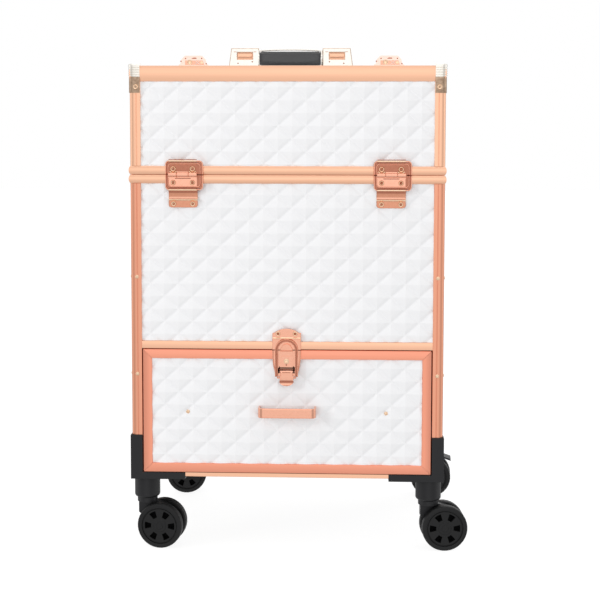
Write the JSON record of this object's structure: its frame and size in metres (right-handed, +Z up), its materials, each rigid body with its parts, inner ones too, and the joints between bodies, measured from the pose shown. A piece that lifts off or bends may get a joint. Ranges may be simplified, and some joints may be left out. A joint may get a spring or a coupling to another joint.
{
  "type": "rolling makeup train case",
  "caption": "Rolling train case with a centre-opening lid, cantilever trays, a front drawer, a trolley handle and twin-wheel casters.",
  "frame": {"origin": "on the floor under the middle of the case", "axes": "+Z up; the drawer opens towards -Y; +X is the right side seen from the front"},
  "size_m": [0.3698, 0.279, 0.553],
  "materials": {
    "white_board": "satin embossed",
    "rose_gold_edging": "satin anodised",
    "salmon_edging": "satin anodised",
    "rose_gold_plate": "bright plated",
    "champagne_plate": "bright plated",
    "black_lining": "flocked",
    "black_nylon": "satin",
    "black_tyre": "satin",
    "bright_steel": "satin"
  },
  "bodies": {
    "body": {"floor_boards": "black_lining", "side_panels": "white_board", "back_panel": "white_board", "front_panel": "white_board", "corner_posts": "rose_gold_edging", "rim_rails": "rose_gold_edging", "cross_rails": "rose_gold_edging", "foot_brackets": "black_nylon", "drawer_runners": "bright_steel", "body_screws": "bright_steel", "lower_hinge_leaves": "rose_gold_plate", "drawer_latch_catch": "rose_gold_plate", "trolley_outer_tubes": "black_nylon", "arm_brackets": "bright_steel"},
    "front_lid": {"front_lid_panels": "white_board", "front_lid_frame": "rose_gold_edging", "front_lid_corners": "champagne_plate", "front_hinge_leaves": "rose_gold_plate", "top_latch_bases": "rose_gold_plate", "handle_mounts": "champagne_plate"},
    "rear_lid": {"rear_lid_panels": "white_board", "rear_lid_frame": "rose_gold_edging", "rear_lid_corners": "champagne_plate", "rear_hinge_leaves": "rose_gold_plate", "top_latch_catches": "rose_gold_plate"},
    "front_lower_tray": {"front_lower_tray": "black_lining"},
    "front_upper_tray": {"front_upper_tray": "black_lining"},
    "front_outer_arms": {"front_outer_arms": "bright_steel"},
    "front_inner_arms": {"front_inner_arms": "bright_steel"},
    "rear_lower_tray": {"rear_lower_tray": "black_lining"},
    "rear_upper_tray": {"rear_upper_tray": "black_lining"},
    "rear_outer_arms": {"rear_outer_arms": "bright_steel"},
    "rear_inner_arms": {"rear_inner_arms": "bright_steel"},
    "drawer": {"drawer_front_panel": "white_board", "drawer_front_frame": "salmon_edging", "drawer_box": "black_lining", "drawer_pull": "rose_gold_edging", "drawer_slides": "bright_steel", "drawer_screws": "bright_steel", "drawer_latch_base": "rose_gold_plate"},
    "drawer_latch_lever": {"drawer_latch_lever": "rose_gold_plate"},
    "drawer_latch_loop": {"drawer_latch_loop": "rose_gold_plate"},
    "left_top_latch": {"left_top_latch": "rose_gold_plate"},
    "right_top_latch": {"right_top_latch": "rose_gold_plate"},
    "carry_handle": {"handle_bail": "champagne_plate", "handle_grip": "black_nylon"},
    "trolley_middle": {"trolley_middle_tubes": "bright_steel"},
    "trolley_top": {"trolley_inner_tubes": "bright_steel", "trolley_grip": "black_nylon"},
    "trolley_button": {"trolley_button": "bright_steel"},
    "front_left_caster": {"front_left_fork": "black_nylon"},
    "front_left_wheels": {"front_left_wheels": "black_tyre"},
    "front_right_caster": {"front_right_fork": "black_nylon"},
    "front_right_wheels": {"front_right_wheels": "black_tyre"},
    "rear_left_caster": {"rear_left_fork": "black_nylon"},
    "rear_left_wheels": {"rear_left_wheels": "black_tyre"},
    "rear_right_caster": {"rear_right_fork": "black_nylon"},
    "rear_right_wheels": {"rear_right_wheels": "black_tyre"},
    "rear_left_brake": {"rear_left_brake": "black_nylon"},
    "rear_right_brake": {"rear_right_brake": "black_nylon"}
  },
  "joints": [
    {"name": "front_lid_hinge", "type": "hinge", "parent": "body", "child": "front_lid", "pos_m": [0, -0.1255, 0.412], "axis": [1, 0, 0], "range_deg": [0, 95]},
    {"name": "front_outer_arm_pivot", "type": "hinge", "parent": "body", "child": "front_outer_arms", "pos_m": [0, -0.092, 0.399], "axis": [1, 0, 0], "range_deg": [0, 71.5]},
    {"name": "front_inner_arm_pivot", "type": "hinge", "parent": "body", "child": "front_inner_arms", "pos_m": [0, -0.074, 0.399], "axis": [1, 0, 0], "range_deg": [0, 71.5]},
    {"name": "front_lower_tray_pivot", "type": "hinge", "parent": "front_outer_arms", "child": "front_lower_tray", "pos_m": [0, -0.05986, 0.4373], "axis": [1, 0, 0], "range_deg": [-71.5, 0]},
    {"name": "front_upper_tray_pivot", "type": "hinge", "parent": "front_outer_arms", "child": "front_upper_tray", "pos_m": [0, -0.03286, 0.46948], "axis": [1, 0, 0], "range_deg": [-71.5, 0]},
    {"name": "rear_lid_hinge", "type": "hinge", "parent": "body", "child": "rear_lid", "pos_m": [0, 0.1255, 0.412], "axis": [1, 0, 0], "range_deg": [-95, 0]},
    {"name": "rear_outer_arm_pivot", "type": "hinge", "parent": "body", "child": "rear_outer_arms", "pos_m": [0, 0.092, 0.399], "axis": [1, 0, 0], "range_deg": [-71.5, 0]},
    {"name": "rear_inner_arm_pivot", "type": "hinge", "parent": "body", "child": "rear_inner_arms", "pos_m": [0, 0.074, 0.399], "axis": [1, 0, 0], "range_deg": [-71.5, 0]},
    {"name": "rear_lower_tray_pivot", "type": "hinge", "parent": "rear_outer_arms", "child": "rear_lower_tray", "pos_m": [0, 0.05986, 0.4373], "axis": [1, 0, 0], "range_deg": [0, 71.5]},
    {"name": "rear_upper_tray_pivot", "type": "hinge", "parent": "rear_outer_arms", "child": "rear_upper_tray", "pos_m": [0, 0.03286, 0.46948], "axis": [1, 0, 0], "range_deg": [0, 71.5]},
    {"name": "drawer_slide", "type": "slide", "parent": "body", "child": "drawer", "axis": [0, -1, 0], "range_m": [0, 0.18]},
    {"name": "drawer_latch_pivot", "type": "hinge", "parent": "drawer", "child": "drawer_latch_lever", "pos_m": [0, -0.1253, 0.1995], "axis": [-1, 0, 0], "range_deg": [0, 120]},
    {"name": "drawer_loop_pivot", "type": "hinge", "parent": "drawer_latch_lever", "child": "drawer_latch_loop", "pos_m": [0, -0.1253, 0.1925], "axis": [-1, 0, 0], "range_deg": [-120, 0]},
    {"name": "left_top_latch_pivot", "type": "hinge", "parent": "front_lid", "child": "left_top_latch", "pos_m": [-0.112, -0.012, 0.537], "axis": [1, 0, 0], "range_deg": [0, 110]},
    {"name": "right_top_latch_pivot", "type": "hinge", "parent": "front_lid", "child": "right_top_latch", "pos_m": [0.112, -0.012, 0.537], "axis": [1, 0, 0], "range_deg": [0, 110]},
    {"name": "carry_handle_pivot", "type": "hinge", "parent": "front_lid", "child": "carry_handle", "pos_m": [0, -0.012, 0.538], "axis": [-1, 0, 0], "range_deg": [0, 90]},
    {"name": "trolley_middle_slide", "type": "slide", "parent": "body", "child": "trolley_middle", "axis": [0, 0, 1], "range_m": [0, 0.22]},
    {"name": "trolley_top_slide", "type": "slide", "parent": "trolley_middle", "child": "trolley_top", "axis": [0, 0, 1], "range_m": [0, 0.22]},
    {"name": "trolley_button_press", "type": "slide", "parent": "trolley_top", "child": "trolley_button", "axis": [0, 0, -1], "range_m": [0, 0.003], "stiffness_N_per_m": 300, "springref_m": -0.002},
    {"name": "front_left_swivel", "type": "hinge", "parent": "body", "child": "front_left_caster", "pos_m": [-0.1555, -0.104, 0.05], "axis": [0, 0, 1], "continuous": true},
    {"name": "front_left_wheel_spin", "type": "hinge", "parent": "front_left_caster", "child": "front_left_wheels", "pos_m": [-0.13863, -0.10607, 0.025], "axis": [0.1219, 0.9925, 0], "continuous": true},
    {"name": "front_right_swivel", "type": "hinge", "parent": "body", "child": "front_right_caster", "pos_m": [0.1555, -0.104, 0.05], "axis": [0, 0, 1], "continuous": true},
    {"name": "front_right_wheel_spin", "type": "hinge", "parent": "front_right_caster", "child": "front_right_wheels", "pos_m": [0.17244, -0.10252, 0.025], "axis": [-0.0872, 0.9962, 0], "continuous": true},
    {"name": "rear_left_swivel", "type": "hinge", "parent": "body", "child": "rear_left_caster", "pos_m": [-0.1555, 0.104, 0.05], "axis": [0, 0, 1], "continuous": true},
    {"name": "rear_left_wheel_spin", "type": "hinge", "parent": "rear_left_caster", "child": "rear_left_wheels", "pos_m": [-0.13854, 0.10519, 0.025], "axis": [-0.0698, 0.9976, 0], "continuous": true},
    {"name": "rear_left_brake_pivot", "type": "hinge", "parent": "rear_left_caster", "child": "rear_left_brake", "pos_m": [-0.14004, 0.10508, 0.0511], "axis": [-0.0698, 0.9976, 0], "range_deg": [0, 4]},
    {"name": "rear_right_swivel", "type": "hinge", "parent": "body", "child": "rear_right_caster", "pos_m": [0.1555, 0.104, 0.05], "axis": [0, 0, 1], "continuous": true},
    {"name": "rear_right_wheel_spin", "type": "hinge", "parent": "rear_right_caster", "child": "rear_right_wheels", "pos_m": [0.17246, 0.10281, 0.025], "axis": [0.0698, 0.9976, 0], "continuous": true},
    {"name": "rear_right_brake_pivot", "type": "hinge", "parent": "rear_right_caster", "child": "rear_right_brake", "pos_m": [0.17096, 0.10292, 0.0511], "axis": [0.0698, 0.9976, 0], "range_deg": [0, 4]}
  ],
  "couplings": [
    {"joint": "front_outer_arm_pivot", "follows": "front_lid_hinge", "ratio": 0.75},
    {"joint": "front_inner_arm_pivot", "follows": "front_lid_hinge", "ratio": 0.75},
    {"joint": "front_lower_tray_pivot", "follows": "front_lid_hinge", "ratio": -0.75},
    {"joint": "front_upper_tray_pivot", "follows": "front_lid_hinge", "ratio": -0.75},
    {"joint": "rear_outer_arm_pivot", "follows": "rear_lid_hinge", "ratio": 0.75},
    {"joint": "rear_inner_arm_pivot", "follows": "rear_lid_hinge", "ratio": 0.75},
    {"joint": "rear_lower_tray_pivot", "follows": "rear_lid_hinge", "ratio": -0.75},
    {"joint": "rear_upper_tray_pivot", "follows": "rear_lid_hinge", "ratio": -0.75},
    {"joint": "drawer_loop_pivot", "follows": "drawer_latch_pivot", "ratio": -1}
  ]
}
